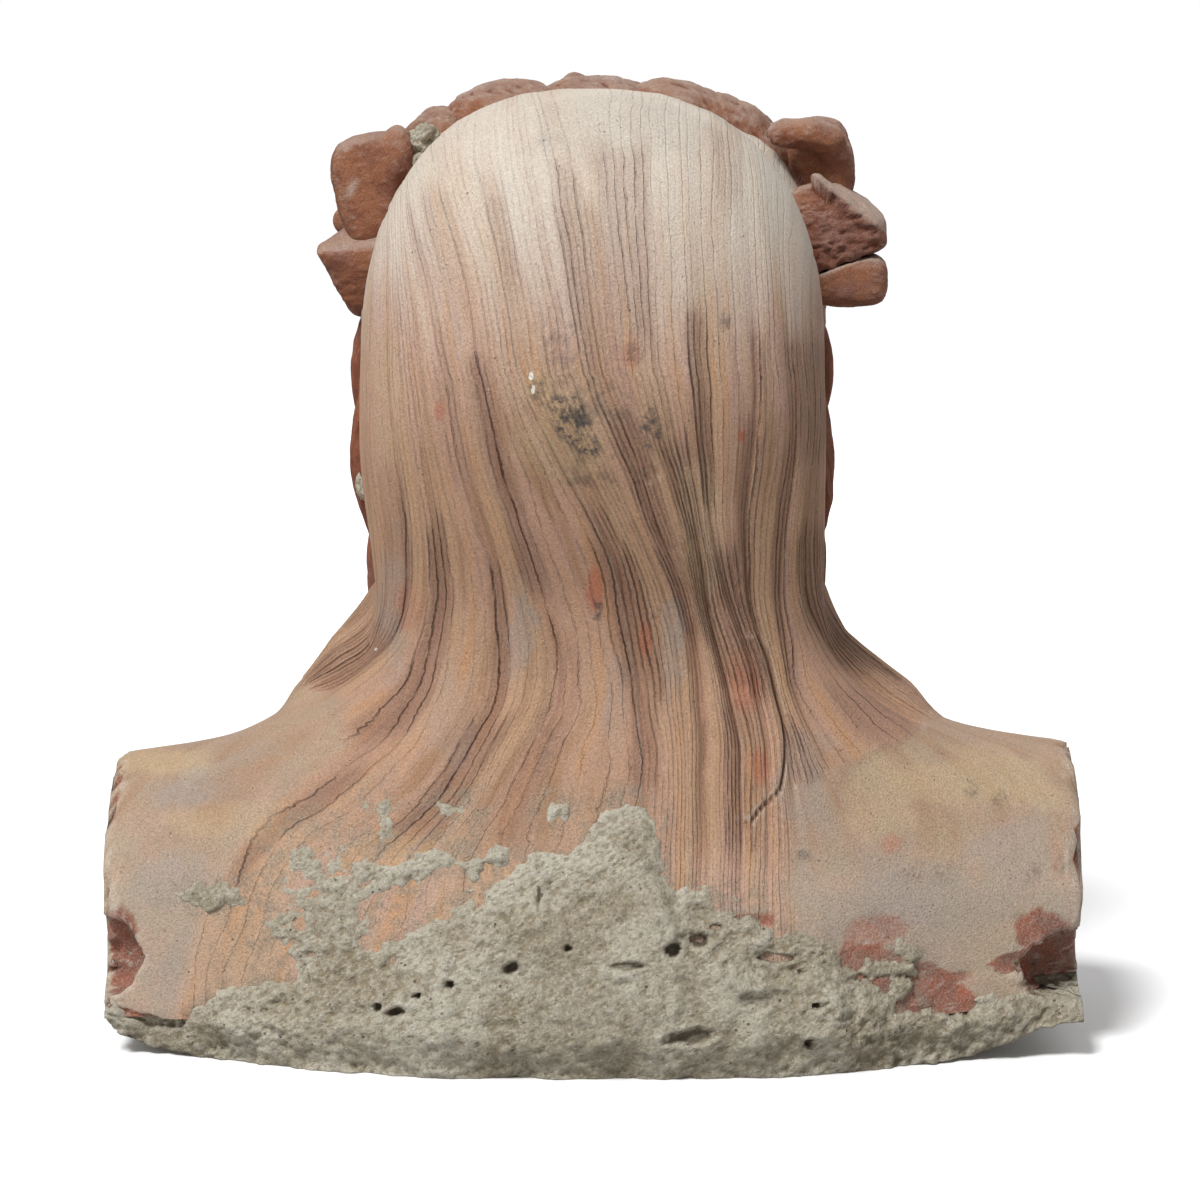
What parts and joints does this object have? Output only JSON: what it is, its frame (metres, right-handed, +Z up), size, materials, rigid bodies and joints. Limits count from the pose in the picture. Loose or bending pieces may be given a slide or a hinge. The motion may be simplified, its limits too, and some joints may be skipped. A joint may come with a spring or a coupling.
{
  "type": "terracotta bust of a woman",
  "caption": "Life-size terracotta bust of a woman with long combed hair, a wreath of leaves and flowers and cut shoulders, standing on a ragged bed of old mortar.",
  "frame": {"origin": "on the flat underside of the mortar bed, midway between the two cut shoulders", "axes": "+Z up, the face looks along -Y, +X towards the figure's left shoulder"},
  "size_m": [0.37, 0.2193, 0.3684],
  "materials": {
    "terracotta": "matte fired clay, weathered",
    "mortar": "rough sandy mortar"
  },
  "bodies": {
    "root": {"terracotta_bust": "terracotta", "mortar_bed": "mortar"}
  },
  "joints": []
}
